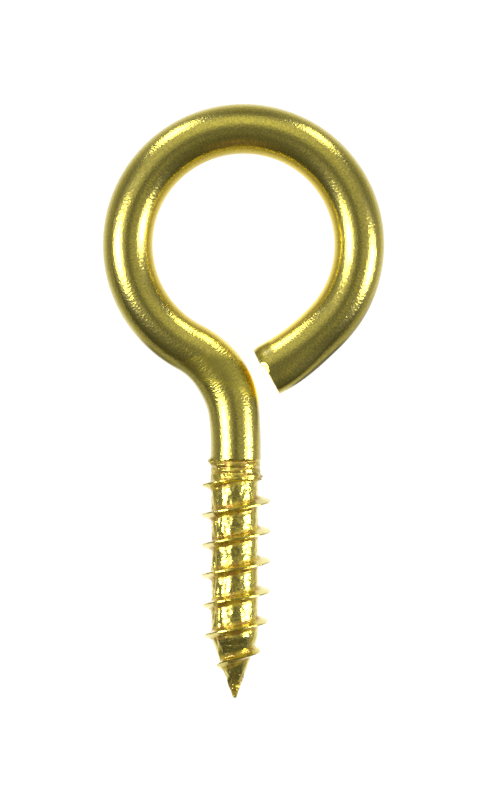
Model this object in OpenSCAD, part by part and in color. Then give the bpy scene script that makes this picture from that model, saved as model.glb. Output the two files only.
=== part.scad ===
// Screw eye: a ring bent from round wire, with a wood-screw thread rolled on its shank.
//
// The ring lies in the XY plane and its centre is the origin. The shank runs down along -Y
// to the point, and +Z is square to the ring. Lengths are in millimetres, angles in degrees.

/* [Wire] */
// Diameter of the wire that the whole piece is bent from
wire_d = 4.2; // [3.8:0.1:4.6]

/* [Ring] */
// Inside diameter of the ring
eye_d = 15.3; // [14:0.1:18]
// Angle over which the ring is a true circle, before it flattens towards its free end
ring_sweep = 286; // [270:1:290]

/* [Free end] */
// Centreline radius of the flatter stretch that ends the ring
free_bend_r = 18.7; // [14:0.1:40]
// Length of that stretch along the centreline, up to the sheared face
free_l = 6.4; // [3:0.1:8]
// Angle of the sheared face off square
shear_skew = 1.7; // [-8:0.1:8]
// How far the torn lip at the inside of the ring stands proud of the sheared face
lip_h = 0.28; // [0.05:0.01:0.5]
// Width of the lip across the wire
lip_w = 1.4; // [0.5:0.1:1.8]
// Width of the bevel from the lip down to the sheared face
lip_bevel_w = 0.8; // [0.1:0.1:1.5]

/* [Neck] */
// Distance from the ring's centre to the shank's axis, towards the side that the neck joins
shank_offset = 0.65; // [0:0.05:2]
// Centreline radius of the tight bend that joins the ring
neck_bend_r = 7; // [5:0.1:9]
// Centreline radius of the gentle bend above the shank
ease_bend_r = 30; // [20:1:60]
// Angle through which the gentle bend turns
ease_turn = 5.7; // [2:0.1:10]

/* [Shank] */
// Length of the plain straight shank, down to the shoulder
shank_l = 2.7; // [2.2:0.1:20]
// Number of rolling marks round the shank above the shoulder
marks = 3; // [1:1:4]
// Height of the first rolling mark above the shoulder
mark_start = 0.6; // [0.5:0.05:0.8]
// Distance between rolling marks
mark_pitch = 0.5; // [0.3:0.05:0.5]
// Depth of a rolling mark
mark_depth = 0.07; // [0.02:0.01:0.1]
// Radius of the rounded bottom of a rolling mark
mark_r = 0.14; // [0.1:0.01:0.16]

/* [Thread] */
// Length of the threaded end, from the shoulder to the point
thread_l = 18.3; // [12:0.1:30]
// Outer diameter over the thread's crest
thread_d = 5.8; // [4.8:0.1:6.5]
// Diameter of the core between the turns
core_d = 3.9; // [3.2:0.1:3.9]
// How far the core between the turns lies off the axis that the crest runs round
core_offset = 0.1; // [0:0.01:0.12]
// Distance between turns
pitch = 2.53; // [1.8:0.01:3.2]
// Width of the ridge at its root, along the axis
root_w = 0.9; // [0.4:0.01:1]
// Width of the ridge's crest, along the axis
crest_w = 0.12; // [0.05:0.01:0.3]
// Height above the point at which the ridge begins
ridge_start = 2.1; // [1.2:0.1:4]
// Direction round the axis in which the ridge begins, counted from the free end's side
ridge_start_angle = 100; // [-180:1:180]
// Height of the ridge once it has risen near the point
ridge_start_h = 0.45; // [0.2:0.05:0.9]
// Turns over which the ridge rises from nothing
rise_turns = 0.25; // [0.1:0.05:0.5]
// Turns over which the ridge grows to its full height
growth_turns = 3; // [1:0.25:4]
// How far past the shoulder the ridge runs out
overrun = 0.4; // [0.1:0.05:0.6]
// Turns over which the ridge runs out
run_out_turns = 0.7; // [0.3:0.05:1]

/* [Point] */
// Angle of the conical point
point_angle = 38.6; // [30:0.2:60]
// Diameter of the blunt tip
tip_d = 0.3; // [0.1:0.05:0.6]

/* [Hidden] */

brass = [0.72, 0.62, 0.22];
arc_steps = 96; // facets round a circle of wire
turn_steps = 48; // facets round one turn of the thread
swing_steps = 240; // facets round a full turn of a bend

seam_t = 0.04; // thickness of the disc that fills the seam between two bends
seam_rim = 0.004; // how much wider than the wire it is

wire_r = wire_d / 2;
core_r = core_d / 2;
tip_r = tip_d / 2;

// The ring's centreline radius, and how the neck's two bends meet it
ring_r = (eye_d + wire_d) / 2;
neck_x = -shank_offset - ease_bend_r + (ease_bend_r - neck_bend_r) * cos(ease_turn);
neck_y = -sqrt(pow(ring_r + neck_bend_r, 2) - pow(neck_x, 2));
neck_centre = [neck_x, neck_y];
ring_start = atan2(neck_y, neck_x) + 360;
ring_end = ring_start - ring_sweep;
shank_top = neck_y - (ease_bend_r - neck_bend_r) * sin(ease_turn);
ease_centre = [-shank_offset - ease_bend_r, shank_top];
shoulder_y = shank_top - shank_l;

// The free end: where its stretch of wire ends
free_centre = (ring_r - free_bend_r) * [cos(ring_end), sin(ring_end)];
free_turn = 180 / PI * free_l / free_bend_r;
lip_turn = 180 / PI * (lip_h + wire_r * tan(abs(shear_skew))) / free_bend_r;
cut_reach = 2 * wire_d;

// The thread, in its own frame: +Z up the axis from the tip, which is at zero
ridge_h = (thread_d - core_d) / 2;
ridge_end = thread_l + overrun;
ridge_turns = (ridge_end - ridge_start) / pitch;
ridge_steps = floor(turn_steps * ridge_turns);
fillet_h = 0.3; // share of the ridge's height at which the root's fillet ends
fillet_w = 0.55; // share of the root's width that is left there
plug_top = ridge_end + root_w; // the threaded end's plug, inside the shank
plug_r = core_r - 0.15;
tip_round_h = tip_r / 2;

// A stretch of wire bent about a centre in the XY plane, from one angle through another.
// It stops just short of each end, and a thin disc there fills the seam to the next stretch.
module bend(centre, radius, from, turn) {
    short = sign(turn) * 180 / PI * seam_t / 4 / radius;
    translate(centre) {
        rotate([0, 0, from + short])
            rotate_extrude(angle = turn - 2 * short, $fn = swing_steps)
                translate([radius, 0])
                    circle(r = wire_r, $fn = arc_steps);
        rotate([0, 0, from + turn])
            translate([radius, 0, 0])
                rotate([90, 0, 0])
                    cylinder(h = seam_t, r = wire_r + seam_rim, center = true, $fn = arc_steps);
    }
}

// What the shears took off: everything past the sheared face and the torn lip beside it.
// Its own +Y runs along the wire towards the free end, and +X points out of the ring.
module sheared_off()
    translate([0, 0, -cut_reach])
        linear_extrude(height = 2 * cut_reach)
            polygon([
                [-cut_reach, lip_h],
                [lip_w - wire_r, lip_h],
                [lip_w + lip_bevel_w - wire_r, 0],
                [cut_reach, -(cut_reach + wire_r - lip_w - lip_bevel_w) * tan(shear_skew)],
                [cut_reach, cut_reach],
                [-cut_reach, cut_reach],
            ]);

// The last stretch of the ring, flatter than the rest and sheared off with a torn lip
module free_end() {
    past = free_turn + 2 * lip_turn;
    difference() {
        bend(free_centre, free_bend_r, ring_end - past, past);
        translate(free_centre)
            rotate([0, 0, ring_end - free_turn])
                translate([free_bend_r, 0])
                    mirror([0, 1, 0])
                        sheared_off();
    }
}

// The ring and the neck's two bends
module ring_and_neck() {
    bend([0, 0], ring_r, ring_end, ring_sweep);
    bend(neck_centre, neck_bend_r, ring_start - 180, -(ring_start - 180 - ease_turn));
    bend(ease_centre, ease_bend_r, ease_turn, -ease_turn);
}

// The straight shank, with the marks that the thread rolls left above the shoulder
module shank()
    difference() {
        cylinder(h = shank_l, r = wire_r, $fn = arc_steps);
        for (i = [1:marks])
            translate([0, 0, mark_start + (i - 1) * mark_pitch])
                rotate_extrude($fn = arc_steps)
                    translate([wire_r + mark_r - mark_depth, 0])
                        circle(r = mark_r, $fn = 24);
    }

// Radius of the core at a height above the tip
function core_at(z) = min(core_r, tip_r + z * tan(point_angle / 2));

// Height of the ridge after so many turns: it rises, grows to its full height and runs out
function ridge_at(t) =
    min(ridge_h, ridge_start_h + (ridge_h - ridge_start_h) * t / growth_turns)
    * sin(90 * min(1, t / rise_turns))
    * sin(90 * max(0, min(1, (ridge_turns - t) / run_out_turns)));

// The ridge's section, as [share of its height, offset along the axis], from its lower root
// over the crest to its upper root and on to the middle of the core above
section = [
    [0, -root_w / 2],
    [fillet_h, -fillet_w * root_w / 2],
    [1, -crest_w / 2],
    [1, crest_w / 2],
    [fillet_h, fillet_w * root_w / 2],
    [0, root_w / 2],
    [0, pitch / 2],
];

// A point round the axis. A share of one of the ridge's full height is centred on the axis,
// and the core, at a share of zero, lies off it.
function at_angle(r, a, z, share = 0) =
    [r * cos(a) - core_offset * (1 - share), r * sin(a), z];
function angle_of(i) = ridge_start_angle + 360 * i / turn_steps;

// One point of the ridge: step i along the helix, row k of its section
function ridge_point(i, k) =
    let (
        t = i / turn_steps,
        z = ridge_start + pitch * t + section[k][1],
        h = section[k][0] * ridge_at(t)
    )
    at_angle(core_at(z) + h, angle_of(i), z, h / ridge_h);

function level_ring(r, z) = [for (j = [0:turn_steps - 1]) at_angle(r, angle_of(j), z)];

// The threaded end as one closed surface. A helical strip holds the ridge and the core above
// it, and each turn's strip shares its edge with the next. Level rings close it at both ends.
module threaded_end() {
    n = turn_steps;
    last = ridge_steps;
    end = last - n; // the last step that has another turn above it
    mid = len(section) - 1; // the section's point in the middle of the core
    root = mid - 1; // and its upper root
    low_z = ridge_start - root_w;
    helix = [for (i = [0:last], k = [0:mid]) ridge_point(i, k)];
    rings = concat(
        level_ring(tip_r * cos(45), 0),
        level_ring(tip_r, tip_round_h),
        level_ring(core_at(low_z), low_z),
        level_ring(plug_r, plug_top)
    );
    first_ring = len(helix);

    function strip(i, k) = i * (mid + 1) + k;
    function ring(m, j) = first_ring + m * n + j % n;
    function quad(a, b, c, d) = [[a, b, c], [a, c, d]];

    // the ridge, and the core between its turns
    ridge = [for (i = [0:last - 1], k = [0:root - 1])
        each quad(strip(i, k), strip(i, k + 1), strip(i + 1, k + 1), strip(i + 1, k))];
    core = [for (i = [0:end - 1])
        each concat(
            quad(strip(i, root), strip(i, mid), strip(i + 1, mid), strip(i + 1, root)),
            quad(strip(i, mid), strip(i + n, 0), strip(i + n + 1, 0), strip(i + 1, mid))
        )];

    // below the first turn, down to the tip
    under = [for (j = [0:n - 2])
        each quad(ring(2, j), strip(j, 0), strip(j + 1, 0), ring(2, j + 1))];
    under_side = concat([ring(2, 0)], [for (k = [0:mid]) strip(0, k)], [strip(n, 0), strip(n - 1, 0)]);
    under_fan = [for (v = [0:len(under_side) - 2])
        [ring(2, n - 1), under_side[v + 1], under_side[v]]];
    cone = [for (m = [0:1], j = [0:n - 1])
        each quad(ring(m, j), ring(m + 1, j), ring(m + 1, j + 1), ring(m, j + 1))];
    tip = [[for (j = [0:n - 1]) ring(0, j)]];

    // above the last turn, up to the plug that sits inside the shank
    over = [for (i = [end + 1:last - 1])
        each quad(strip(i, root), ring(3, i), ring(3, i + 1), strip(i + 1, root))];
    over_side = concat(
        [strip(end, root), strip(end, mid)],
        [for (k = [0:root]) strip(last, k)],
        [ring(3, end), ring(3, end + 1)]
    );
    over_fan = [for (v = [0:len(over_side) - 2])
        [strip(end + 1, root), over_side[v], over_side[v + 1]]];
    plug = [[for (j = [n - 1:-1:0]) ring(3, j)]];

    polyhedron(
        points = concat(helix, rings),
        faces = concat(ridge, core, under, under_fan, cone, tip, over, over_fan, plug),
        convexity = 10
    );
}

// The whole piece of wire
module screw_eye()
    color(brass) {
        free_end();
        ring_and_neck();
        translate([-shank_offset, shoulder_y, 0])
            rotate([-90, 0, 0]) {
                shank();
                translate([0, 0, -thread_l])
                    threaded_end();
            }
    }

screw_eye();
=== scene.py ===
"""A screw eye bent from brass-plated wire, laid on a pale floor under studio lamps.

Sizes are in millimetres and angles in degrees. The ring lies in the XY plane round the
origin, the shank runs down along -Y, and +Z is square to the ring.
"""

import logging
import math
from dataclasses import dataclass, field
from enum import Enum

import bpy
import numpy as np
from mathutils import Euler, Matrix, Vector, noise

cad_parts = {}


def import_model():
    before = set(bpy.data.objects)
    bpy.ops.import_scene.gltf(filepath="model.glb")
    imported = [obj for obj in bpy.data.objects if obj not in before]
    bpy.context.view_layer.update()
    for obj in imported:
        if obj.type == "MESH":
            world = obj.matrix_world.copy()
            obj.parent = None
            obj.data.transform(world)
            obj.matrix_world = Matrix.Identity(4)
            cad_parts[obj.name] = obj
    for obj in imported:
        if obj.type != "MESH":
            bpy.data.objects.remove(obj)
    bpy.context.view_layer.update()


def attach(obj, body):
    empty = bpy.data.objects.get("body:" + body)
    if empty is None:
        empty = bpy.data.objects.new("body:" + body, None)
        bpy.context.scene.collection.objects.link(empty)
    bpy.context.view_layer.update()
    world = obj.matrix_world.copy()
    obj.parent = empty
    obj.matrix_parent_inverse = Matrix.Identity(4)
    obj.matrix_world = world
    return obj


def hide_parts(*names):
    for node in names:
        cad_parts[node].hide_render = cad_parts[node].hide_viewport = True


MM = 0.001
COLUMNS = 120
FULL_TURN = 360.0
HALF_TURN = 180.0
RISE = (0.0, 1.0)
FALL = (1.0, 0.0)
BLACK = (0.0, 0.0, 0.0)
WHITE = (1.0, 1.0, 1.0)
CAD_NODE = "screw_eye"
STRAIGHT = "straight_wire"
GATHERED = "gathered_plating"
BODY = "root"
SLOT = "brass_plating"

# A range's two ends, and where a rise starts and ends and then where the fall does.
Ends = tuple[float, float]
Window = tuple[float, float, float, float]
Colour = tuple[float, float, float]
Stretch = tuple[float, float, float]
# What goes into a socket: another node's socket to link, or a value.
Feed = bpy.types.NodeSocket | float | tuple[float, ...]

log = logging.getLogger("screw_eye")


class Wear(Enum):
    """The kinds of unevenness, each with the shift that makes its noise unlike the others."""

    PLAIN = 0.0
    PATCH = 2.0
    DENT = 3.0
    SMALL_DENT = 5.0
    NICK = 7.0
    STREAK = 11.0


class Operation(Enum):
    """What a math node works out."""

    ADD = "ADD"
    MULTIPLY = "MULTIPLY"
    MULTIPLY_ADD = "MULTIPLY_ADD"
    MAXIMUM = "MAXIMUM"
    LESS_THAN = "LESS_THAN"


class Measure(Enum):
    """What a vector node measures between two vectors."""

    DISTANCE = "DISTANCE"
    DOT_PRODUCT = "DOT_PRODUCT"


class Blend(Enum):
    """How two colours are put together."""

    MIX = "MIX"
    ADD = "ADD"
    MULTIPLY = "MULTIPLY"


def turned(degrees: np.ndarray) -> np.ndarray:
    """The unit vectors in the plane that point at these angles."""
    angle = np.radians(degrees)
    return np.stack([np.cos(angle), np.sin(angle)], axis=-1)


def smooth_step(low: float, high: float, value: np.ndarray) -> np.ndarray:
    """Rises smoothly from 0 to 1.

    Args:
        low: The value at which the rise starts.
        high: The value at which it ends.
        value: What is looked up.

    Returns:
        The share of the rise at each value.
    """
    share = np.clip((value - low) / (high - low), 0.0, 1.0)
    return share * share * (3.0 - 2.0 * share)


def window(ends: Window, value: np.ndarray) -> np.ndarray:
    """Rises from 0 to 1 between its first two ends and falls again between its last two."""
    return smooth_step(ends[0], ends[1], value) * (1.0 - smooth_step(ends[2], ends[3], value))


def hump(value: np.ndarray, centre: float, width: float) -> np.ndarray:
    """A bell of height 1 round a centre, falling to nothing at about two widths."""
    return np.exp(-(((value - centre) / width) ** 2))


def angle_off(angle: np.ndarray, centre: float) -> np.ndarray:
    """How far these angles lie from a centre, from -180 to 180 degrees."""
    return (angle - centre + HALF_TURN) % FULL_TURN - HALF_TURN


def waves(places: np.ndarray, size: float | Stretch, wear: Wear = Wear.PLAIN) -> np.ndarray:
    """Smooth noise between -1 and 1.

    Args:
        places: Where it is looked up, with x, y and z on the last axis.
        size: How far apart its waves are, in all directions or in each.
        wear: The kind of unevenness that it is for.

    Returns:
        The noise at each place.
    """
    flat = (places / np.array(size)).reshape(-1, 3) + wear.value
    return np.array([noise.noise(Vector(p)) for p in flat.tolist()]).reshape(places.shape[:-1])


def column_angles() -> np.ndarray:
    """The angle of each column of points round the wire."""
    return np.arange(COLUMNS) * FULL_TURN / COLUMNS


def opaque(colour: Colour) -> tuple[float, float, float, float]:
    """A colour as a socket takes it, covering fully."""
    return (*colour, 1.0)


def direction(azimuth: float, zenith: float) -> Vector:
    """The unit vector at this azimuth, tilted this far from straight up."""
    flat = turned(np.array(azimuth)) * math.sin(math.radians(zenith))
    return Vector((*flat, math.cos(math.radians(zenith))))


def rotation_of(x: Vector, y: Vector, z: Vector) -> Euler:
    """The rotation of a frame with these axes."""
    return Matrix((x, y, z)).transposed().to_euler()


class NodeBench:
    """Adds nodes to one shader tree and wires them together."""

    def __init__(self, tree: bpy.types.NodeTree) -> None:
        """Clears the tree."""
        self.tree = tree
        tree.nodes.clear()

    def add(self, kind: str, inputs: dict | None = None, **settings: object) -> bpy.types.Node:
        """Adds a node.

        Args:
            kind: The node's type, without the words ShaderNode.
            inputs: What goes into its sockets: a socket to link, or a value.
            settings: What is set on the node itself.

        Returns:
            The node.
        """
        node = self.tree.nodes.new("ShaderNode" + kind)
        for name, value in settings.items():
            setattr(node, name, value)
        for name, value in (inputs or {}).items():
            if isinstance(value, bpy.types.NodeSocket):
                self.tree.links.new(value, node.inputs[name])
            else:
                node.inputs[name].default_value = value
        return node

    def math(
        self, operation: Operation, one: Feed, two: Feed, three: float = 0.0
    ) -> bpy.types.NodeSocket:
        """The result of an operation on sockets or numbers."""
        return self.add("Math", {0: one, 1: two, 2: three}, operation=operation.value).outputs[0]

    def measured(self, what: Measure, one: Feed, two: Feed) -> bpy.types.NodeSocket:
        """A measure between two vectors."""
        return self.add("VectorMath", {0: one, 1: two}, operation=what.value).outputs["Value"]

    def stretched(self, place: bpy.types.NodeSocket, by: Stretch) -> bpy.types.NodeSocket:
        """A place with its axes scaled one by one."""
        return self.add("VectorMath", {0: place, 1: by}, operation="MULTIPLY").outputs[0]

    def clouds(
        self, place: bpy.types.NodeSocket, size: float, detail: float
    ) -> bpy.types.NodeSocket:
        """Smooth noise from 0 to 1, with lumps of about this size."""
        inputs = {"Vector": place, "Scale": 1 / size, "Detail": detail}
        return self.add("TexNoise", inputs).outputs["Fac"]

    def ranged(self, value: Feed, old: Ends, new: Ends) -> bpy.types.NodeSocket:
        """A value that rises smoothly over one range, mapped to another.

        Args:
            value: The socket that is mapped.
            old: Where the rise starts and ends.
            new: What it rises from and to.

        Returns:
            The socket with the result.
        """
        inputs = {"Value": value, "From Min": old[0], "From Max": old[1]}
        inputs.update({"To Min": new[0], "To Max": new[1]})
        return self.add("MapRange", inputs, interpolation_type="SMOOTHSTEP").outputs[0]

    def between(self, value: Feed, ends: Window) -> bpy.types.NodeSocket:
        """1 between the two middle ends, and 0 past the outer ones.

        Args:
            value: The socket that is looked at.
            ends: Where the rise starts and ends, and where the fall does.

        Returns:
            The socket with the share.
        """
        rise = self.ranged(value, ends[:2], RISE)
        fall = self.ranged(value, ends[2:], FALL)
        return self.math(Operation.MULTIPLY, rise, fall)

    def mix(
        self, factor: Feed, one: Feed, two: Feed, blend: Blend = Blend.MIX
    ) -> bpy.types.NodeSocket:
        """Two colours mixed.

        Args:
            factor: The share of the second one.
            one: The first colour.
            two: The second colour.
            blend: How they are mixed.

        Returns:
            The socket with the colour.
        """
        inputs = {"Factor": factor, "A": one, "B": two}
        return self.add("Mix", inputs, data_type="RGBA", blend_type=blend.value).outputs["Result"]

    def seen(self) -> bpy.types.NodeSocket:
        """Tells the rays that look at things from those that only light them.

        Returns:
            The socket with 1 for rays from the camera, from gloss and through glass.
        """
        path = self.add("LightPath").outputs
        looked = self.math(Operation.MAXIMUM, path["Is Camera Ray"], path["Is Glossy Ray"])
        return self.math(Operation.MAXIMUM, looked, path["Is Transmission Ray"])


class Skin:
    """The points and faces of one closed skin, gathered stretch by stretch."""

    def __init__(self, wire: "Wire") -> None:
        """Starts with nothing.

        Args:
            wire: The wire that it lies round.
        """
        self.wire = wire
        self.points: list[np.ndarray] = []
        self.faces: list[tuple[int, ...]] = []
        self.count = 0

    def add(self, points: np.ndarray) -> np.ndarray:
        """Adds points.

        Args:
            points: Their places, as an array whose last axis is x, y, z.

        Returns:
            Their numbers, in the shape of the array without that axis.
        """
        flat = points.reshape(-1, 3)
        first = self.count
        self.points.append(flat)
        self.count += len(flat)
        return np.arange(first, self.count).reshape(points.shape[:-1])

    def face(self, *corners: int) -> None:
        """Adds a face, if it has three corners.

        Args:
            corners: The numbers of its corners, of which those that repeat are left out.
        """
        kept = [c for i, c in enumerate(corners) if c != corners[i - 1]]
        if len(set(kept)) >= 3:
            self.faces.append(tuple(int(c) for c in kept))

    def join(self, one: np.ndarray, two: np.ndarray) -> None:
        """Joins two closed rings of points, column by column.

        Args:
            one: The first ring's numbers.
            two: The second ring's numbers.
        """
        for k in range(len(one)):
            after = (k + 1) % len(one)
            self.face(one[k], one[after], two[after], two[k])

    def tube(self, points: np.ndarray, start: np.ndarray) -> np.ndarray:
        """Adds rings and joins each to the next.

        Args:
            points: The rings, as rows of columns of places.
            start: The ring that the first one is joined to.

        Returns:
            The last ring's numbers.
        """
        last = start
        for ring in self.add(points):
            self.join(last, ring)
            last = ring
        return last

    def mesh(self, name: str, end: "FreeEnd", thread: "ThreadedEnd") -> bpy.types.Mesh:
        """The mesh, in metres, with what its finish needs to know about each point.

        Args:
            name: The mesh's name.
            end: The free end, which knows where the wire was sheared.
            thread: The threaded end, which knows where the plating gathered.

        Returns:
            The mesh, smooth all over.
        """
        places = np.concatenate(self.points)
        made = bpy.data.meshes.new(name)
        made.from_pydata((places * MM).tolist(), [], self.faces)
        made.validate()
        made.shade_smooth()
        unbent = self.wire.straightened(places)
        straight = made.attributes.new(STRAIGHT, "FLOAT_VECTOR", "POINT")
        straight.data.foreach_set("vector", unbent.ravel())
        dull = np.maximum(thread.gathered(places), end.sheared(unbent))
        gathered = made.attributes.new(GATHERED, "FLOAT", "POINT")
        gathered.data.foreach_set("value", dull)
        return made


@dataclass(frozen=True)
class Bend:
    """A stretch of wire bent about a centre, from one angle through another."""

    centre: tuple[float, float]
    radius: float
    start: float
    turn: float

    @property
    def length(self) -> float:
        """The length of its centreline."""
        return math.radians(abs(self.turn)) * self.radius

    def at(self, along: np.ndarray) -> tuple[np.ndarray, np.ndarray]:
        """Places along the centreline.

        Args:
            along: Distances from the stretch's start, which may run past its ends.

        Returns:
            The points, and the directions in which the wire runs there.
        """
        way = math.copysign(1.0, self.turn)
        angle = self.start + way * np.degrees(along / self.radius)
        out = turned(angle)
        run = way * np.stack([-out[..., 1], out[..., 0]], axis=-1)
        return np.array(self.centre) + self.radius * out, run


@dataclass
class Wire:
    """The bent wire's route: free end, ring, neck and straight shank."""

    wire_d: float = 4.2
    eye_d: float = 15.3
    ring_sweep: float = 286.0
    free_bend_r: float = 18.7
    free_l: float = 6.4
    shank_offset: float = 0.65
    neck_bend_r: float = 7.0
    ease_bend_r: float = 30.0
    ease_turn: float = 5.7
    shank_l: float = 2.7
    past_weight: float = 4.0

    def __post_init__(self) -> None:
        """Works out how the bends meet."""
        self.wire_r = self.wire_d / 2
        self.ring_r = (self.eye_d + self.wire_d) / 2
        tight = self.ease_bend_r - self.neck_bend_r
        ease = math.radians(self.ease_turn)
        neck_x = -self.shank_offset - self.ease_bend_r + tight * math.cos(ease)
        neck_y = -math.sqrt((self.ring_r + self.neck_bend_r) ** 2 - neck_x**2)
        ring_start = math.degrees(math.atan2(neck_y, neck_x)) + FULL_TURN
        self.ring_end = ring_start - self.ring_sweep
        self.shank_top = neck_y - tight * math.sin(ease)
        self.shoulder_y = self.shank_top - self.shank_l
        free_out = turned(np.array(self.ring_end)) * (self.ring_r - self.free_bend_r)
        free_turn = math.degrees(self.free_l / self.free_bend_r)
        neck_start = ring_start - HALF_TURN
        self.bends = [
            Bend(tuple(free_out), self.free_bend_r, self.ring_end - free_turn, free_turn),
            Bend((0.0, 0.0), self.ring_r, self.ring_end, self.ring_sweep),
            Bend((neck_x, neck_y), self.neck_bend_r, neck_start, self.ease_turn - neck_start),
            Bend(
                (-self.shank_offset - self.ease_bend_r, self.shank_top),
                self.ease_bend_r,
                self.ease_turn,
                -self.ease_turn,
            ),
        ]
        self.joints = np.cumsum([0.0] + [b.length for b in self.bends])
        self.length = float(self.joints[-1]) + self.shank_l

    def at(self, along: np.ndarray) -> tuple[np.ndarray, np.ndarray]:
        """Places along the whole wire.

        Args:
            along: Distances from the sheared face.

        Returns:
            The points, and the directions in which the wire runs there.
        """
        points = np.zeros(along.shape + (2,))
        runs = np.zeros(along.shape + (2,))
        stretch = np.searchsorted(self.joints[1:], along, side="right")
        for i, bend in enumerate(self.bends):
            here = stretch == i
            points[here], runs[here] = bend.at(along[here] - self.joints[i])
        straight = stretch == len(self.bends)
        down = along[straight] - self.joints[-1]
        points[straight] = np.stack(
            [np.full_like(down, -self.shank_offset), self.shank_top - down], axis=-1
        )
        runs[straight] = (0.0, -1.0)
        return points, runs

    def straightened(self, places: np.ndarray) -> np.ndarray:
        """Where places on the piece lay on the wire before it was bent.

        Args:
            places: The places.

        Returns:
            How far along the wire each lies, then how far out of the ring, then its height.
        """
        flat = places[:, :2]
        best = np.full(len(flat), np.inf)
        found = np.zeros_like(places)
        found[:, 2] = places[:, 2]
        for i, bend in enumerate(self.bends):
            away = flat - np.array(bend.centre)
            way = math.copysign(1.0, bend.turn)
            middle = bend.start + bend.turn / 2
            angle = angle_off(np.degrees(np.arctan2(away[:, 1], away[:, 0])), middle)
            distance = np.hypot(away[:, 0], away[:, 1])
            past = np.radians(np.maximum(np.abs(angle) - abs(bend.turn) / 2, 0.0)) * bend.radius
            miss = np.abs(distance - bend.radius) + self.past_weight * past
            along = self.joints[i] + bend.length / 2 + way * np.radians(angle) * bend.radius
            nearer = miss < best
            best[nearer] = miss[nearer]
            found[nearer, 0] = along[nearer]
            found[nearer, 1] = (way * (distance - bend.radius))[nearer]
        down = self.shank_top - flat[:, 1]
        straight = down > 0.0
        found[straight, 0] = (self.joints[-1] + down)[straight]
        found[straight, 1] = (-self.shank_offset - flat[:, 0])[straight]
        return found

    def skin(self, along: np.ndarray, radius: np.ndarray, angle: np.ndarray) -> np.ndarray:
        """Places on a skin round the wire.

        Args:
            along: How far each point is from the sheared face.
            radius: How far it is from the centreline.
            angle: Its direction round the wire, from out of the ring towards +Z.

        Returns:
            The places, with x, y and z on the last axis.
        """
        centre, run = self.at(along)
        out = np.stack([run[..., 1], -run[..., 0]], axis=-1)
        round_wire = turned(angle)
        flat = centre + (radius * round_wire[..., 0])[..., None] * out
        return np.concatenate([flat, (radius * round_wire[..., 1])[..., None]], axis=-1)


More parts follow.
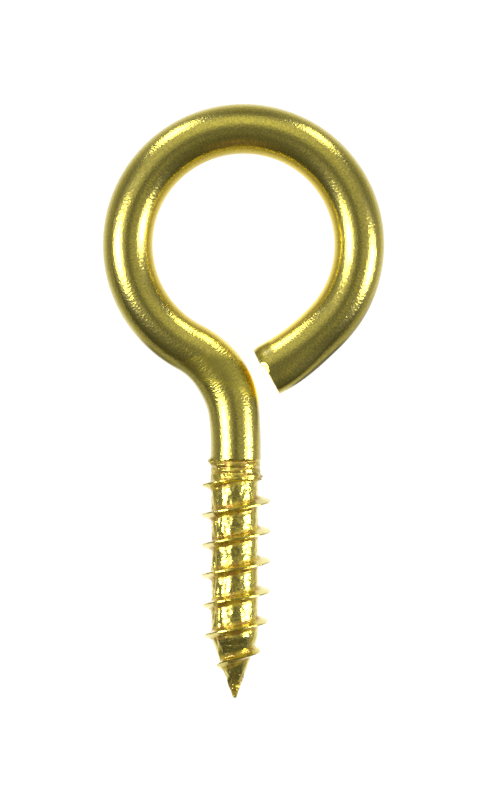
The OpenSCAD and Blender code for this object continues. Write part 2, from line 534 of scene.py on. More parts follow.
@dataclass
class FreeEnd:
    """The sheared face that ends the ring, with what the shear pressed and tore."""

    wire: Wire
    # The face, with its lip, its bevel and its torn skin.
    skew: float = 1.7
    lip_h: float = 0.28
    lip_w: float = 1.4
    bevel_w: float = 0.8
    rings: int = 26
    tear: float = 0.02
    tear_size: float = 0.35
    # The pressed outer side, the rolled inner edge and the ledge on the lip.
    press_w: float = 2.32
    press_square: float = 3.4
    press_from: float = 5.6
    press_to: float = 0.6
    roll_l: float = 0.75
    roll_depth: float = 0.3
    ledge_l: float = 0.42
    ledge_tilt: float = 20.4
    ledge_angle: float = 104.0
    ledge_reach: float = 60.0
    roll_side: Ends = (95.0, 130.0)
    # Where the shear left the metal dull.
    sheared_share: float = 0.6
    sheared_past: float = 0.06
    sheared_reach: float = 0.97

    def depth(self, across: np.ndarray) -> np.ndarray:
        """How far along the wire the face lies.

        Args:
            across: Places across the wire, positive out of the ring.

        Returns:
            The distance past the nominal end, negative where metal stands proud.
        """
        lip_end = self.lip_w - self.wire.wire_r
        bevel = np.clip((across - lip_end) / self.bevel_w, 0.0, 1.0)
        past = np.maximum(across - lip_end - self.bevel_w, 0.0)
        return -self.lip_h * (1.0 - bevel) + past * math.tan(math.radians(self.skew))

    def radius(self, along: np.ndarray, angle: np.ndarray) -> np.ndarray:
        """The skin's distance from the centreline, near the face and away from it.

        Args:
            along: Distances from the nominal end.
            angle: Directions round the wire.

        Returns:
            The distances.
        """
        round_r = self.wire.wire_r
        cos, sin = np.cos(np.radians(angle)), np.sin(np.radians(angle))
        wide = (np.abs(cos) / self.press_w) ** self.press_square
        high = (np.abs(sin) / round_r) ** self.press_square
        squared = (wide + high) ** (-1.0 / self.press_square)
        pressed = (1.0 - smooth_step(self.press_to, self.press_from, along)) * (cos > 0.0)
        radius = round_r + (squared - round_r) * pressed
        inner = smooth_step(*self.roll_side, np.abs(angle_off(angle, 0.0)))
        flank = 0.5 + 0.5 * np.abs(sin)
        from_face = np.maximum(along - self.depth(round_r * cos), 0.0)
        roll = np.maximum(1.0 - from_face / self.roll_l, 0.0) ** 2
        radius = radius - self.roll_depth * inner * flank * roll
        reach = self.ledge_reach
        beside = np.radians(np.clip(angle_off(angle, self.ledge_angle), -reach, reach))
        lost = (self.ledge_l - from_face) * math.tan(math.radians(self.ledge_tilt))
        return np.minimum(radius, (round_r - lost) / np.cos(beside))

    def sheared(self, unbent: np.ndarray) -> np.ndarray:
        """How dull the metal was left, on the sheared face and beside it.

        Args:
            unbent: Places as they lay on the straight wire.

        Returns:
            The share of dullness at each, between 0 and 1.
        """
        on_face = unbent[:, 0] < self.depth(unbent[:, 1]) + self.sheared_past
        inside = np.hypot(unbent[:, 1], unbent[:, 2]) < self.wire.wire_r * self.sheared_reach
        return (on_face & inside) * self.sheared_share

    def add_to(self, skin: Skin) -> tuple[np.ndarray, np.ndarray]:
        """Adds the face, from its middle to its rim.

        Args:
            skin: What it is added to.

        Returns:
            The rim's points, and how far along the wire they lie.
        """
        share = (np.arange(1, self.rings + 1) / self.rings)[:, None]
        angle = np.broadcast_to(column_angles(), (self.rings, COLUMNS))
        rim = self.depth(self.wire.wire_r * np.cos(np.radians(angle)))
        radius = self.radius(rim, angle) * share
        along = self.depth(radius * np.cos(np.radians(angle)))
        torn = waves(self.wire.skin(along, radius, angle), self.tear_size)
        along = along + self.tear * torn
        rings = skin.add(self.wire.skin(along, radius, angle))
        zero = np.zeros(1)
        middle = skin.add(self.wire.skin(self.depth(zero), zero, zero))[0]
        for k in range(COLUMNS):
            skin.face(middle, rings[0][(k + 1) % COLUMNS], rings[0][k])
        for one, two in zip(rings[:-1], rings[1:]):
            skin.join(one, two)
        return rings[-1], along[-1]


@dataclass
class RingAndNeck:
    """The ring and the neck, with what bending and drawing left on them."""

    wire: Wire
    end: FreeEnd
    row_step: float = 0.25
    end_l: float = 1.5
    end_rows: int = 22
    neck_past: float = 0.6
    neck_w: float = 2.6
    neck_spread: float = 0.15
    neck_sink: float = 0.35
    ripple: float = 0.006
    ripple_size: float = 1.1

    def radius(self, along: np.ndarray, angle: np.ndarray) -> np.ndarray:
        """The skin's distance from the centreline.

        Args:
            along: Distances from the nominal sheared end.
            angle: Directions round the wire.

        Returns:
            The distances.
        """
        neck = (self.wire.joints[2] + self.wire.joints[3]) / 2 + self.neck_past
        pressed = hump(along, neck, self.neck_w) * self.neck_spread
        flat = np.cos(np.radians(angle)) ** 2
        shape = (1.0 + self.neck_sink) * flat - self.neck_sink
        return self.end.radius(along, angle) + pressed * shape

    def add_to(self, skin: Skin, start: np.ndarray, first: np.ndarray) -> np.ndarray:
        """Adds the ring and the neck, down to the top of the shank.

        Args:
            skin: What they are added to.
            start: The rim of the sheared face.
            first: How far along the wire that rim lies, column by column.

        Returns:
            The last ring of points.
        """
        end = self.wire.joints[-1]
        fine = np.linspace(0.0, 1.0, self.end_rows + 1)[1:, None]
        near = first + (self.end_l - first) * fine
        rows = int((end - self.end_l) / self.row_step)
        rest = np.linspace(self.end_l, end, rows + 1)[1:, None] + 0.0 * first
        along = np.concatenate([near, rest])
        angle = np.broadcast_to(column_angles(), along.shape)
        radius = self.radius(along, angle)
        rippled = waves(self.wire.skin(along, radius, angle), self.ripple_size)
        radius = radius - self.ripple * (0.5 + 0.5 * rippled)
        return skin.tube(self.wire.skin(along, radius, angle), start)


@dataclass(frozen=True)
class Burr:
    """A lump of metal that the rolling pushed up.

    It lies at a height above the tip and an angle round the axis, has a width along the axis
    and an angle that it spans, and stands so far proud.
    """

    height: float
    angle: float
    width: float
    span: float
    proud: float

    def at(self, height: np.ndarray, angle: np.ndarray) -> np.ndarray:
        """How far it lifts the skin at these heights and angles."""
        lift = self.proud * hump(height, self.height, self.width)
        return lift * hump(angle_off(angle, self.angle), 0.0, self.span)


@dataclass
class ThreadedEnd:
    """The rolled wood-screw thread and its point, on the shank below the shoulder."""

    wire: Wire
    # The ridge, the core and the point.
    length: float = 18.3
    thread_d: float = 5.8
    core_d: float = 3.9
    core_offset: float = 0.1
    pitch: float = 2.53
    root_w: float = 0.9
    crest_w: float = 0.1
    flank_at: tuple[float, ...] = (0.4, 0.56, 0.7, 0.84, 1.0)
    flank_h: tuple[float, ...] = (1.0, 0.5, 0.26, 0.11, 0.03, 0.0)
    ridge_start: float = 2.1
    ridge_start_angle: float = 100.0
    ridge_start_h: float = 0.45
    rise_turns: float = 0.25
    growth_turns: float = 3.0
    overrun: float = 0.4
    run_out_turns: float = 0.7
    point_angle: float = 38.6
    tip_d: float = 0.3
    shoulder_w: float = 0.06
    # The rolling marks on the shank, and the shallow band beside them.
    marks: int = 3
    mark_start: float = 0.6
    mark_pitch: float = 0.5
    mark_depth: float = 0.07
    mark_w: float = 0.1
    mark_wander: float = 0.05
    mark_uneven: float = 0.25
    band_from: float = 0.55
    band_to: float = 1.7
    band_depth: float = 0.045
    fade: float = 0.1
    # The rows of points.
    shoulder_rows: int = 90
    ridge_rows: tuple[float, ...] = (0.09, 0.13, 0.18, 0.215, 0.25, 0.28, 0.315, 0.35, 0.39)
    crest_row: float = 0.6
    core_rows: int = 20
    cone_rows: int = 36
    seam_h: float = 0.1
    snap: float = 0.012
    spare_turns: int = 2
    # Where the plating gathered.
    beside_ridge: Window = (0.18, 0.36, 0.42, 0.8)
    gathered_from: Ends = (0.9, 1.6)
    gathered_cone: Window = (-0.2, 0.3, 1.2, 1.8)
    patch_size: Stretch = (0.9, 0.35, 0.9)
    patch_level: float = 0.7
    patch_swing: float = 0.9
    # What the dies left: a flat, dents, streaks, nicks and burrs.
    flat_angle: float = 249.0
    flat_span: float = 9.0
    worn_to: Ends = (0.62, 0.68)
    least_worn: float = 0.14
    dent: float = 0.042
    dent_size: float = 0.42
    dent_level: float = 0.35
    small_dents: float = 0.6
    cone_dent: float = 0.27
    cone_dent_fade: Ends = (-0.6, 0.3)
    streak: float = 0.032
    streak_size: Stretch = (0.3, 1.3, 0.3)
    streak_all_round: float = 0.4
    streak_rough_side: float = 3.4
    rough_side: float = 208.0
    rough_reach: float = 26.0
    nick: float = 0.07
    nick_size: float = 0.9
    burrs: tuple[Burr, ...] = (
        Burr(19.92, 186.0, 0.24, 24.0, 0.3),
        Burr(19.6, 215.0, 0.2, 26.0, 0.16),
        Burr(18.62, 2.0, 0.11, 9.0, 0.2),
        Burr(18.35, -12.0, 0.14, 10.0, 0.14),
        Burr(17.85, 190.0, 0.3, 22.0, 0.24),
        Burr(18.75, 330.0, 0.24, 22.0, 0.1),
        Burr(4.35, 262.0, 0.07, 24.0, 0.06),
    )

    def __post_init__(self) -> None:
        """Works out the ridge's height and its turns."""
        self.core_r = self.core_d / 2
        self.tip_r = self.tip_d / 2
        self.ridge_h = (self.thread_d - self.core_d) / 2
        self.turns = (self.length + self.overrun - self.ridge_start) / self.pitch

    def ridge_at(self, turns: np.ndarray) -> np.ndarray:
        """The ridge's height along its helix.

        Args:
            turns: How many turns it has made from its start near the point.

        Returns:
            The heights, as shares of its full height.
        """
        start = self.ridge_start_h / self.ridge_h
        grown = np.minimum(1.0, start + (1.0 - start) * turns / self.growth_turns)
        rise = np.sin(math.pi / 2 * np.clip(turns / self.rise_turns, 0.0, 1.0))
        left = (self.turns - turns) / self.run_out_turns
        return grown * rise * np.sin(math.pi / 2 * np.clip(left, 0.0, 1.0))

    def flank(self, offset: np.ndarray) -> np.ndarray:
        """The ridge's section, from its crest down the fillet to the core.

        Args:
            offset: Distances from its middle, along the axis.

        Returns:
            The heights, as shares of the ridge's own height.
        """
        stops = [self.crest_w / 2, *(share * self.root_w / 2 for share in self.flank_at)]
        return np.interp(np.abs(offset), stops, self.flank_h)

    def nearest_turn(self, height: np.ndarray, angle: np.ndarray) -> tuple[np.ndarray, np.ndarray]:
        """The turn of the ridge that lies nearest.

        Args:
            height: Heights above the tip.
            angle: Directions round the axis.

        Returns:
            How many turns the ridge has made there, and how far above its middle each place is.
        """
        turns = (height - self.ridge_start) / self.pitch
        share = ((angle - self.ridge_start_angle) % FULL_TURN) / FULL_TURN
        nearest = np.round(turns - share) + share
        return nearest, (turns - nearest) * self.pitch

    def radius(self, height: np.ndarray, angle: np.ndarray) -> np.ndarray:
        """The skin's distance from the wire's axis.

        Args:
            height: Heights above the tip.
            angle: Directions round the axis, from the free end's side away from +Z.

        Returns:
            The distances.
        """
        away = np.radians(angle)
        cone = self.tip_r + height * math.tan(math.radians(self.point_angle / 2))
        core = np.minimum(self.core_r, cone)
        off = self.core_offset
        core = -off * np.cos(away) + np.sqrt(core**2 - (off * np.sin(away)) ** 2 * (core > off))
        beside = np.clip(angle_off(angle, self.flat_angle), -self.flat_span, self.flat_span)
        core = core * math.cos(math.radians(self.flat_span)) / np.cos(np.radians(beside))
        turn, offset = self.nearest_turn(height, angle)
        up = self.ridge_at(turn) * self.flank(offset)
        full = np.minimum(self.thread_d / 2, core + self.ridge_h + off * np.cos(away))
        ridge = core + (full - core) * up
        above = height - self.length
        shank = self.wire.wire_r - self.marks_at(above, angle)
        body = core + (shank - core) * smooth_step(-self.shoulder_w, self.shoulder_w, above)
        radius = np.maximum(ridge, body)
        worn = 1.0 - smooth_step(*self.worn_to, above / self.wire.shank_l)
        radius = radius - self.worn(radius, height, angle) * (1.0 - up) * worn
        nicked = waves(self.places_at(radius, height, angle), self.nick_size, Wear.NICK)
        radius = radius - self.nick * np.abs(nicked) * up
        for burr in self.burrs:
            radius = radius + burr.at(height, angle)
        return np.clip(radius, self.tip_r / 2, self.thread_d / 2)

    def gathered(self, places: np.ndarray) -> np.ndarray:
        """How thick the plating gathered, beside the ridge and in the rolling marks.

        Args:
            places: Places on the whole piece.

        Returns:
            The thickness there, between 0 and 1.
        """
        height = places[:, 1] - self.wire.shoulder_y + self.length
        angle = np.degrees(np.arctan2(-places[:, 2], places[:, 0] + self.wire.shank_offset))
        _, offset = self.nearest_turn(height, angle)
        beside = window(self.beside_ridge, np.abs(offset))
        above = height - self.length
        shoulder = smooth_step(-self.fade, self.fade, above)
        on_ridge = smooth_step(*self.gathered_from, height) * (1.0 - shoulder)
        band = shoulder * (1.0 - smooth_step(self.band_to - self.fade, self.band_to, above))
        uneven = self.patch_level + self.patch_swing * waves(places, self.patch_size, Wear.PATCH)
        patchy = np.clip(uneven, 0.0, 1.0)
        on_cone = window(self.gathered_cone, height)
        return np.maximum(beside * on_ridge, patchy * np.maximum(band, on_cone))

    def marks_at(self, above: np.ndarray, angle: np.ndarray) -> np.ndarray:
        """How deep the rolling marks are.

        Args:
            above: Heights above the shoulder.
            angle: Directions round the axis.

        Returns:
            The depths.
        """
        side = np.radians(angle)
        low, high, fade = self.band_from, self.band_to, self.fade
        deep = self.band_depth * window((low, low + fade, high - fade, high), above)
        for i in range(self.marks):
            middle = self.mark_start + i * self.mark_pitch - self.mark_wander * np.cos(side + i)
            uneven = 1.0 - self.mark_uneven * (1.0 - np.sin(2.0 * (side + i)))
            deep = deep + self.mark_depth * uneven * hump(above - middle, 0.0, self.mark_w)
        return deep

    def worn(self, radius: np.ndarray, height: np.ndarray, angle: np.ndarray) -> np.ndarray:
        """How deep the dents and streaks are that the dies left on the core and the point.

        Args:
            radius: Distances of the smooth skin from the axis.
            height: Heights above the tip.
            angle: Directions round the axis.

        Returns:
            The depths.
        """
        places = self.places_at(radius, height, angle)
        small = waves(places, self.dent_size / 2, Wear.SMALL_DENT)
        dents = waves(places, self.dent_size, Wear.DENT) + self.small_dents * small
        side = hump(angle_off(angle, self.rough_side), 0.0, self.rough_reach)
        strength = self.streak_all_round + self.streak_rough_side * side
        streaks = strength * waves(places, self.streak_size, Wear.STREAK)
        shrink = np.clip(radius / self.core_r, self.least_worn, 1.0)
        on_cone = 1.0 - smooth_step(*self.cone_dent_fade, height - self.ridge_start)
        dent = self.dent + (self.cone_dent - self.dent) * on_cone
        return shrink * (dent * (self.dent_level + dents) + self.streak * streaks)

    def places_at(self, radius: np.ndarray, height: np.ndarray, angle: np.ndarray) -> np.ndarray:
        """Places at a distance from the axis.

        Args:
            radius: The distances.
            height: Heights above the tip.
            angle: Directions round the axis.

        Returns:
            The places.
        """
        away = np.radians(angle)
        x = -self.wire.shank_offset + radius * np.cos(away)
        y = self.wire.shoulder_y - self.length + height
        return np.stack([x, y, -radius * np.sin(away)], axis=-1)

    def places(self, height: np.ndarray, angle: np.ndarray) -> np.ndarray:
        """The places on the skin at these heights and directions round the axis."""
        return self.places_at(self.radius(height, angle), height, angle)

    def offsets(self) -> np.ndarray:
        """The heights of one turn's rows of points.

        Returns:
            The heights above the middle of the ridge, close together on the ridge itself.
        """
        crest, root = self.crest_w / 2, self.root_w / 2
        core = np.linspace(root, self.pitch / 2, self.core_rows // 2 + 1)[1:]
        above = np.array([0.0, crest * self.crest_row, crest, *self.ridge_rows, root, *core])
        return np.concatenate([-above[-2:0:-1], above])

    def add_shank(self, skin: Skin, start: np.ndarray) -> np.ndarray:
        """Adds the straight shank from its top down to just above the shoulder.

        Args:
            skin: What it is added to.
            start: The ring of points at the shank's top.

        Returns:
            The last ring of points.
        """
        top = self.length + self.wire.shank_l
        height = np.linspace(top, self.length + self.seam_h, self.shoulder_rows)[1:, None]
        angle = np.broadcast_to(column_angles() + HALF_TURN, (len(height), COLUMNS))
        return skin.tube(self.places(height + 0 * angle, angle), start)

    def add_thread(self, skin: Skin, start: np.ndarray) -> np.ndarray:
        """Adds the ridge and the core between its turns, as rows that climb with the helix.

        Args:
            skin: What they are added to.
            start: The ring of points just above the shoulder.

        Returns:
            The level ring of points below the ridge.
        """
        low = self.ridge_start - self.root_w
        high = self.length + self.seam_h
        offsets = self.offsets()
        per_turn = len(offsets)
        first = round((self.ridge_start_angle - HALF_TURN) / FULL_TURN * COLUMNS) % COLUMNS
        columns = (first + np.arange(COLUMNS)) % COLUMNS
        share = np.arange(COLUMNS) / COLUMNS
        angle = self.ridge_start_angle + share * FULL_TURN
        turns = np.arange(-self.spare_turns, math.ceil(self.turns) + self.spare_turns)
        rows = (turns[:, None] * self.pitch + offsets).reshape(-1)
        height = self.ridge_start + rows[:, None] + share * self.pitch
        inside = (height > low + self.snap) & (height < high - self.snap)
        bottom = skin.add(self.places(np.full(COLUMNS, low), angle))
        numbers = np.where(height < (low + high) / 2, bottom, start[columns])
        kept = skin.add(self.places(height[inside], np.broadcast_to(angle, height.shape)[inside]))
        numbers[inside] = kept
        for one, two in zip(numbers[:-1], numbers[1:]):
            for k in range(COLUMNS - 1):
                skin.face(one[k], two[k], two[k + 1], one[k + 1])
        for j in range(len(numbers) - 1 - per_turn):
            over = j + per_turn
            skin.face(numbers[j, -1], numbers[j + 1, -1], numbers[over + 1, 0], numbers[over, 0])
        ring = np.empty(COLUMNS, dtype=int)
        ring[columns] = bottom
        return ring

    def add_point(self, skin: Skin, start: np.ndarray) -> None:
        """Adds the plain cone below the ridge, and its blunt tip.

        Args:
            skin: What they are added to.
            start: The level ring of points below the ridge.
        """
        low = self.ridge_start - self.root_w
        share = np.linspace(1.0, 0.0, self.cone_rows + 1)[1:, None]
        angle = np.broadcast_to(column_angles() + HALF_TURN, (self.cone_rows, COLUMNS))
        places = self.places(low * share + 0 * angle, angle)
        last = skin.tube(places, start)
        middle = skin.add(places[-1].mean(axis=0)[None])[0]
        for k in range(COLUMNS):
            skin.face(middle, last[k], last[(k + 1) % COLUMNS])


@dataclass(frozen=True)
class BrassPlating:
    """Bright yellow brass plated over steel wire, with the fine grain of the drawn wire."""

    name: str = SLOT
    # The bright metal, clouded between two yellows.
    pale: Colour = (0.87, 0.735, 0.045)
    deep: Colour = (0.81, 0.655, 0.022)
    cloud_size: float = 2.5
    cloud_detail: float = 3.0
    roughness: float = 0.2
    gloss_ior: float = 1.78
    gloss_roughness: float = 0.28
    dull_gloss: float = 0.3
    # Where the plating gathered.
    gilt: Colour = (0.85, 0.64, 0.065)
    stain: Colour = (0.46, 0.24, 0.045)
    stain_size: float = 0.7
    stain_detail: float = 1.0
    stain_ends: Ends = (0.4, 0.58)
    stain_share: float = 0.95
    gathered_roughness: float = 0.34
    gathered_metallic: float = 0.75
    # The grain of the drawn wire.
    grain_size: float = 0.19
    grain_detail: float = 0.6
    grain_stretch: float = 1.4
    grain_depth: float = 0.0155
    shade: Colour = (0.3, 0.25, 0.03)
    shade_ends: Ends = (0.25, 0.75)
    shade_share: float = 0.42
    # The neck, where bending wrinkled and opened the plating.
    wrinkle: Stretch = (8.0, 1.4, 1.4)
    wrinkle_detail: float = 0.5
    wrinkle_share: Ends = (0.25, 1.1)
    neck_at: float = 57.5
    neck_reach: float = 7.0
    strained_roughness: float = 0.24
    # The dull patches that tools left, in places on the straight wire, which are also darkened as
    # painted shade.
    worked_roughness: float = 0.26
    # The share and the dark olive of the painted shade laid on these patches.
    painted_shade_share: float = 0.7
    painted_shade_tint: Colour = (0.12, 0.108, 0.035)
    worked_slant: float = 0.9
    neck_worked: Window = (56.0, 56.9, 58.9, 60.1)
    top_worked: Ends = (1.0, 1.5)
    roll_worked: Ends = (1.1, 1.6)
    roll_side: Ends = (-1.05, -0.75)
    roll_top: Ends = (0.5, 1.0)

    def strained(self, bench: NodeBench, along: bpy.types.NodeSocket) -> bpy.types.NodeSocket:
        """How far the bending of the neck opened the plating, from 0 to 1, along the wire."""
        low, high = self.neck_at - self.neck_reach, self.neck_at + self.neck_reach
        return bench.between(along, (low, self.neck_at, self.neck_at, high))

    def worked_and_shaded(self, bench: NodeBench, parts: bpy.types.Node) -> bpy.types.NodeSocket:
        """How dull the bending left the neck's top, and the shear the free end's inner edge; the
        same share darkens them as painted shade.

        Args:
            bench: Where its nodes are added.
            parts: The node that splits a place on the straight wire.

        Returns:
            The socket with the dullness and the painted shade's share, between 0 and 1.
        """
        along, across, high = (parts.outputs[axis] for axis in "XYZ")
        across_neck = bench.math(Operation.MULTIPLY, across, self.worked_slant)
        slant = bench.math(Operation.ADD, along, across_neck)
        top = bench.ranged(high, self.top_worked, RISE)
        neck = bench.math(Operation.MULTIPLY, bench.between(slant, self.neck_worked), top)
        near = bench.ranged(along, self.roll_worked, FALL)
        near = bench.math(Operation.MULTIPLY, near, bench.ranged(high, self.roll_top, RISE))
        inner = bench.ranged(across, self.roll_side, FALL)
        roll = bench.math(Operation.MULTIPLY, near, inner)
        return bench.math(Operation.MAXIMUM, neck, roll)

    def tint(
        self,
        bench: NodeBench,
        place: bpy.types.NodeSocket,
        grain: bpy.types.NodeSocket,
        gathered: bpy.types.NodeSocket,
        worked_and_shaded: bpy.types.NodeSocket,
    ) -> bpy.types.NodeSocket:
        """The plating's colour, with painted shade on the tooled patches of the neck's top and the
        free end's inner edge.

        Args:
            bench: Where its nodes are added.
            place: The place on the straight wire.
            grain: The grain of the drawn wire.
            gathered: How thick the plating gathered.
            worked_and_shaded: How dull the tools left the metal, which is also the share of
                painted shade.

        Returns:
            The socket with the colour.
        """
        cloud = bench.clouds(place, self.cloud_size, self.cloud_detail)
        tint = bench.mix(cloud, opaque(self.pale), opaque(self.deep))
        stain = bench.clouds(place, self.stain_size, self.stain_detail)
        stained = bench.ranged(stain, self.stain_ends, (0.0, self.stain_share))
        gilt = bench.mix(stained, opaque(self.gilt), opaque(self.stain))
        tint = bench.mix(gathered, tint, gilt)
        shade = bench.ranged(grain, self.shade_ends, (self.shade_share, 0.0))
        tint = bench.mix(shade, tint, opaque(self.shade))
        # Painted shade: the tooled patches are darkened towards a dark olive, where the lamps
        # would otherwise leave highlights.
        share = bench.math(Operation.MULTIPLY, worked_and_shaded, self.painted_shade_share)
        return bench.mix(share, tint, opaque(self.painted_shade_tint))

    def relief(
        self,
        bench: NodeBench,
        place: bpy.types.NodeSocket,
        grain: bpy.types.NodeSocket,
        strained: bpy.types.NodeSocket,
    ) -> bpy.types.NodeSocket:
        """The fine relief of the grain, and of the wrinkles that bending left.

        Args:
            bench: Where its nodes are added.
            place: The place on the straight wire.
            grain: The grain of the drawn wire.
            strained: How far the bending opened the plating.

        Returns:
            The socket with the surface's direction.
        """
        wrinkled = bench.clouds(bench.stretched(place, self.wrinkle), 1.0, self.wrinkle_detail)
        share = bench.ranged(strained, RISE, self.wrinkle_share)
        wrinkled = bench.math(Operation.MULTIPLY, wrinkled, share)
        height = bench.math(Operation.ADD, grain, wrinkled)
        inputs = {"Height": height, "Distance": self.grain_depth * MM}
        return bench.add("Bump", inputs).outputs["Normal"]

    def material(self) -> bpy.types.Material:
        """The node material.

        Returns:
            The material, which reads what the mesh says about each point.
        """
        made = bpy.data.materials.new(self.name)
        made.use_nodes = True
        bench = NodeBench(made.node_tree)
        place = bench.add("Attribute", attribute_name=STRAIGHT).outputs["Vector"]
        gathered = bench.add("Attribute", attribute_name=GATHERED).outputs["Fac"]
        squeezed = bench.stretched(place, (self.grain_stretch, 1.0, 1.0))
        grain = bench.clouds(squeezed, self.grain_size, self.grain_detail)
        parts = bench.add("SeparateXYZ", {0: place})
        strained = self.strained(bench, parts.outputs["X"])
        # The tooled patches: rougher, less glossy, and darkened as painted shade.
        worked_and_shaded = self.worked_and_shaded(bench, parts)
        normal = self.relief(bench, place, grain, strained)
        dull = bench.ranged(gathered, RISE, (self.roughness, self.gathered_roughness))
        opened = bench.ranged(strained, RISE, (0.0, self.strained_roughness - self.roughness))
        rough = bench.math(Operation.MULTIPLY, worked_and_shaded, self.worked_roughness)
        rough = bench.math(Operation.ADD, opened, rough)
        plain = bench.math(Operation.MAXIMUM, gathered, worked_and_shaded)
        shader = bench.add(
            "BsdfPrincipled",
            {
                "Base Color": self.tint(bench, place, grain, gathered, worked_and_shaded),
                "Metallic": bench.ranged(gathered, RISE, (1.0, self.gathered_metallic)),
                "Roughness": bench.math(Operation.ADD, dull, rough),
                "Coat Weight": bench.ranged(plain, RISE, (1.0, self.dull_gloss)),
                "Coat IOR": self.gloss_ior,
                "Coat Roughness": self.gloss_roughness,
                "Normal": normal,
                "Coat Normal": normal,
            },
        )
        bench.add("OutputMaterial", {"Surface": shader.outputs[0]})
        return made


@dataclass
class ScrewEye:
    """The whole piece: one length of wire from its sheared end to its point."""

    wire: Wire = field(default_factory=Wire)
    finish: BrassPlating = BrassPlating()
    name: str = "plated_screw_eye"
    sharp_angle: float = 42.0

    def build(self) -> bpy.types.Object:
        """Makes the mesh and dresses it.

        Returns:
            The object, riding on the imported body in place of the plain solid.
        """
        skin = Skin(self.wire)
        end = FreeEnd(self.wire)
        neck = RingAndNeck(self.wire, end)
        thread = ThreadedEnd(self.wire)
        rim, first = end.add_to(skin)
        last = neck.add_to(skin, rim, first)
        last = thread.add_shank(skin, last)
        last = thread.add_thread(skin, last)
        thread.add_point(skin, last)
        mesh = skin.mesh(self.name, end, thread)
        mesh.set_sharp_from_angle(angle=math.radians(self.sharp_angle))
        piece = bpy.data.objects.new(self.name, mesh)
        bpy.context.scene.collection.objects.link(piece)
        mesh.materials.append(self.finish.material())
        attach(piece, BODY)
        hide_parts(CAD_NODE)
        return piece


@dataclass(frozen=True)
class SoftBox:
    """An elliptical studio lamp that looks at the piece.

    It hangs in a direction from the ring's centre, and spans so many degrees each way there.
    """

    name: str
    azimuth: float
    zenith: float
    width: float
    height: float
    radiance: float
    distance: float = 700.0

    def build(self) -> None:
        """Hangs the lamp."""
        side = 2.0 * self.distance * MM
        data = bpy.data.lights.new(self.name, "AREA")
        data.shape = "ELLIPSE"
        data.size = side * math.tan(math.radians(self.width / 2))
        data.size_y = side * math.tan(math.radians(self.height / 2))
        area = math.pi / 4 * data.size * data.size_y
        data.energy = self.radiance * math.pi * area
        lamp = bpy.data.objects.new(self.name, data)
        toward = direction(self.azimuth, self.zenith)
        lamp.location = toward * self.distance * MM
        out = Vector((*turned(np.array(self.azimuth)), 0.0))
        across = Vector((-out.y, out.x, 0.0))
        up = toward.cross(across)
        lamp.rotation_euler = rotation_of(across, up, toward)
        bpy.context.scene.collection.objects.link(lamp)


@dataclass(frozen=True)
class Glow:
    """A soft patch of light in the room: where it is, how far it reaches, and its colour."""

    azimuth: float
    zenith: float
    outer: float
    inner: float
    colour: Colour

    def lit(self, bench: NodeBench, toward: bpy.types.NodeSocket) -> bpy.types.NodeSocket:
        """The patch's light.

        Args:
            bench: Where its nodes are added.
            toward: The direction that is looked in.

        Returns:
            The socket with the light.
        """
        centre = tuple(direction(self.azimuth, self.zenith))
        aim = bench.measured(Measure.DOT_PRODUCT, toward, centre)
        ends = (math.cos(math.radians(self.outer)), math.cos(math.radians(self.inner)))
        return bench.mix(bench.ranged(aim, ends, RISE), opaque(BLACK), opaque(self.colour))


@dataclass(frozen=True)
class PaintedSpot:
    """A round patch of the floor that the metal mirrors in another colour: a pool of painted light
    or a patch of painted shade, which the camera never sees.
    """

    centre: tuple[float, float]
    inner: float
    outer: float
    colour: Colour

    def over(
        self, bench: NodeBench, under: Feed, place: bpy.types.NodeSocket
    ) -> bpy.types.NodeSocket:
        """The floor's colour with the patch laid over it.

        Args:
            bench: Where its nodes are added.
            under: The colour that it is laid over.
            place: The place on the floor.

        Returns:
            The socket with the colour.
        """
        middle = (self.centre[0] * MM, self.centre[1] * MM, 0.0)
        away = bench.measured(Measure.DISTANCE, bench.stretched(place, (1.0, 1.0, 0.0)), middle)
        share = bench.ranged(away, (self.inner * MM, self.outer * MM), FALL)
        return bench.mix(share, under, opaque(self.colour))


@dataclass(frozen=True)
class CloseUp:
    """The camera, square above the ring, with the long lens of a close-up."""

    px_per_mm: float = 11.88
    image: tuple[int, int] = (488, 800)
    ring_px: tuple[float, float] = (243.54, 244.64)
    distance: float = 620.0
    sensor: float = 24.0
    clip: Ends = (0.01, 100.0)

    def build(self) -> None:
        """Sets the camera."""
        data = bpy.data.cameras.new("camera")
        data.sensor_fit = "VERTICAL"
        data.sensor_height = self.sensor
        data.lens = self.sensor * self.distance / (self.image[1] / self.px_per_mm)
        data.clip_start, data.clip_end = self.clip
        eye = bpy.data.objects.new("camera", data)
        x = (self.image[0] / 2 - self.ring_px[0]) / self.px_per_mm
        y = (self.ring_px[1] - self.image[1] / 2) / self.px_per_mm
        eye.location = Vector((x, y, self.distance)) * MM
        bpy.context.scene.collection.objects.link(eye)
        bpy.context.scene.camera = eye


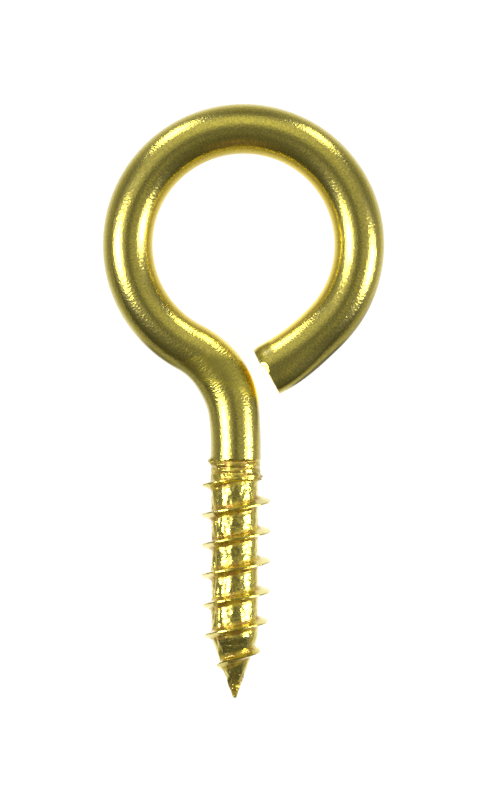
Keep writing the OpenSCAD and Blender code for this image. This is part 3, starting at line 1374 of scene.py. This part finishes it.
@dataclass(frozen=True)
class Floor:
    """The pale floor under the piece, with the glow and the tints that the metal mirrors, which
    are painted light and painted shade for its reflections only.
    """

    height: float = -2.9
    reach: float = 4000.0
    shown: Colour = (0.96, 0.96, 0.96)
    shadowed: Colour = (0.13, 0.13, 0.13)
    plain: Colour = (0.8, 0.8, 0.8)
    tint: Colour = (0.98, 0.955, 0.82)
    facing: float = 0.5
    # Painted light for the reflections: the mirrored floor dims when seen aslant and glows
    # brighter under the thread.
    slant_ends: Ends = (-0.05, 0.9)
    slant_glow: Ends = (0.92, 0.12)
    near_ends: Ends = (-21.0, -18.5)
    near_glow: Ends = (1.3, 1.0)
    # Painted reflections: golden pools of painted light inside the ring and an orange one between
    # the neck and the free end, and patches of painted shade beside the ring's lower right, the
    # free end and the neck's left.
    painted_spots: tuple[PaintedSpot, ...] = (
        PaintedSpot((0.0, 0.0), 5.3, 9.0, (1.25, 1.08, 0.58)),
        PaintedSpot((-1.5, 5.5), 1.0, 5.0, (0.95, 0.82, 0.44)),
        PaintedSpot((2.0, -5.0), 1.0, 6.0, (1.7, 1.47, 0.8)),
        PaintedSpot((9.8, -9.0), 2.0, 7.5, (0.45, 0.43, 0.34)),
        PaintedSpot((7.9, -12.0), 2.5, 4.4, (0.1, 0.09, 0.05)),
        PaintedSpot((-9.6, -13.0), 1.4, 4.6, (0.12, 0.12, 0.06)),
        PaintedSpot((2.1, -11.6), 1.1, 2.7, (2.0, 1.35, 0.12)),
    )

    def mirrored(self, bench: NodeBench) -> bpy.types.NodeSocket:
        """What the metal mirrors of the floor, dimmer the more it is seen aslant and brighter
        under the thread, with pools of painted light and patches of painted shade.

        Args:
            bench: Where its nodes are added.

        Returns:
            The socket with the colour.
        """
        steep = bench.add("LayerWeight", {"Blend": self.facing}).outputs["Facing"]
        place = bench.add("TexCoord").outputs["Object"]
        tint = opaque(self.tint)
        for painted_spot in self.painted_spots:
            tint = painted_spot.over(bench, tint, place)
        beyond = bench.add("SeparateXYZ", {0: place}).outputs["Y"]
        near_ends = (self.near_ends[0] * MM, self.near_ends[1] * MM)
        lit = bench.ranged(beyond, near_ends, self.near_glow)
        glow = bench.ranged(steep, self.slant_ends, self.slant_glow)
        return bench.mix(1.0, bench.math(Operation.MULTIPLY, glow, lit), tint, Blend.MULTIPLY)

    def material(self) -> bpy.types.Material:
        """The floor's finish.

        Returns:
            The material: nearly white to the camera, and plain grey to what only lights.
        """
        made = bpy.data.materials.new("floor")
        made.use_nodes = True
        bench = NodeBench(made.node_tree)
        camera = bench.add("LightPath").outputs["Is Camera Ray"]
        level = bench.mix(camera, self.mirrored(bench), opaque(self.shown))
        glow = bench.add("Emission", {"Color": level}).outputs[0]
        shade = bench.add("BsdfDiffuse", {"Color": opaque(self.shadowed)}).outputs[0]
        shown = bench.add("AddShader", {0: shade, 1: glow}).outputs[0]
        plain = bench.add("BsdfDiffuse", {"Color": opaque(self.plain)}).outputs[0]
        pick = bench.add("MixShader", {0: bench.seen(), 1: plain, 2: shown})
        bench.add("OutputMaterial", {"Surface": pick.outputs[0]})
        return made

    def build(self) -> None:
        """Lays the floor."""
        mesh = bpy.data.meshes.new("floor")
        far, low = self.reach * MM, self.height * MM
        edges = [(-far, -far, low), (far, -far, low), (far, far, low), (-far, far, low)]
        mesh.from_pydata(edges, [], [(0, 1, 2, 3)])
        ground = bpy.data.objects.new("floor", mesh)
        bpy.context.scene.collection.objects.link(ground)
        mesh.materials.append(self.material())


@dataclass(frozen=True)
class Room:
    """The dim room that the metal mirrors, brighter overhead at the far side."""

    levels: tuple[Ends, ...] = (
        (0.0, 1.0),
        (0.49, 0.6),
        (0.51, 0.12),
        (0.6, 0.18),
        (0.85, 0.31),
        (0.96, 0.33),
        (0.985, 0.26),
        (0.995, 0.17),
        (1.0, 0.12),
    )
    side_ends: Ends = (-0.55, 0.15)
    side_light: Ends = (0.35, 1.0)
    glows: tuple[Glow, ...] = (
        Glow(62.0, 44.0, 30.0, 10.0, (0.17, 0.17, 0.17)),
        Glow(90.0, 43.0, 27.0, 10.0, (0.2, 0.2, 0.2)),
        Glow(118.0, 44.0, 30.0, 10.0, (0.17, 0.17, 0.17)),
        Glow(272.0, 68.0, 24.0, 8.0, (0.12, 0.07, 0.05)),
        Glow(181.0, 21.0, 16.0, 4.0, (0.12, 0.12, 0.12)),
        Glow(-8.0, 21.0, 16.0, 4.0, (0.09, 0.09, 0.09)),
    )

    def paint(self, ramp: bpy.types.ColorRamp) -> None:
        """Sets a ramp to the room's levels of grey, from straight down to straight up.

        Args:
            ramp: The ramp.
        """
        while len(ramp.elements) < len(self.levels):
            ramp.elements.new(0.5)
        for element, (place, grey) in zip(ramp.elements, self.levels):
            element.position = place
            element.color = opaque((grey, grey, grey))

    def light(
        self, bench: NodeBench, toward: bpy.types.NodeSocket, parts: bpy.types.Node
    ) -> bpy.types.NodeSocket:
        """The room's light.

        Args:
            bench: Where its nodes are added.
            toward: The direction that is looked in.
            parts: The node that splits that direction.

        Returns:
            The socket with the light.
        """
        height = bench.math(Operation.MULTIPLY_ADD, parts.outputs["Z"], 0.5, 0.5)
        ramp = bench.add("ValToRGB", {0: height})
        self.paint(ramp.color_ramp)
        side = bench.ranged(parts.outputs["Y"], self.side_ends, self.side_light)
        total = bench.mix(1.0, ramp.outputs["Color"], side, Blend.MULTIPLY)
        for glow in self.glows:
            total = bench.mix(1.0, total, glow.lit(bench, toward), Blend.ADD)
        return total

    def build(self) -> None:
        """Puts the room round the piece, white where the camera looks past the floor."""
        world = bpy.data.worlds.new("room")
        bpy.context.scene.world = world
        world.use_nodes = True
        bench = NodeBench(world.node_tree)
        toward = bench.add("TexCoord").outputs["Generated"]
        parts = bench.add("SeparateXYZ", {0: toward})
        below = bench.math(Operation.LESS_THAN, parts.outputs["Z"], 0.0)
        mirrored = bench.math(Operation.MULTIPLY, below, bench.seen())
        camera = bench.add("LightPath").outputs["Is Camera Ray"]
        backdrop = bench.math(Operation.MAXIMUM, camera, mirrored)
        shown = bench.mix(backdrop, self.light(bench, toward, parts), opaque(WHITE))
        back = bench.add("Background", {"Color": shown})
        bench.add("OutputWorld", {"Surface": back.outputs[0]})


@dataclass(frozen=True)
class Studio:
    """The floor, the dim room, the lamps and the camera."""

    camera: CloseUp = CloseUp()
    floor: Floor = Floor()
    room: Room = Room()
    lamps: tuple[SoftBox, ...] = (
        SoftBox("left_box", 181.0, 48.0, 18.5, 33.0, 15.0),
        SoftBox("right_box", -8.0, 65.0, 18.5, 32.0, 15.0),
        SoftBox("top_right_lamp", 56.0, 77.0, 11.0, 29.0, 8.0),
        SoftBox("top_left_lamp", 121.0, 77.0, 13.0, 32.0, 9.5),
    )

    def build(self) -> None:
        """Sets everything up."""
        self.camera.build()
        self.floor.build()
        self.room.build()
        for lamp in self.lamps:
            lamp.build()
        bpy.context.scene.view_settings.view_transform = "Standard"


def corners(box: tuple) -> list[list[float]]:
    """A box's two corners as plain numbers."""
    return [[float(x) for x in corner] for corner in box]


def main() -> None:
    """Builds the piece and the studio."""
    logging.basicConfig(level=logging.INFO)
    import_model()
    piece = ScrewEye().build()
    log.info("%s: %d faces", piece.name, len(piece.data.polygons))
    Studio().build()


if __name__ == "__main__":
    main()
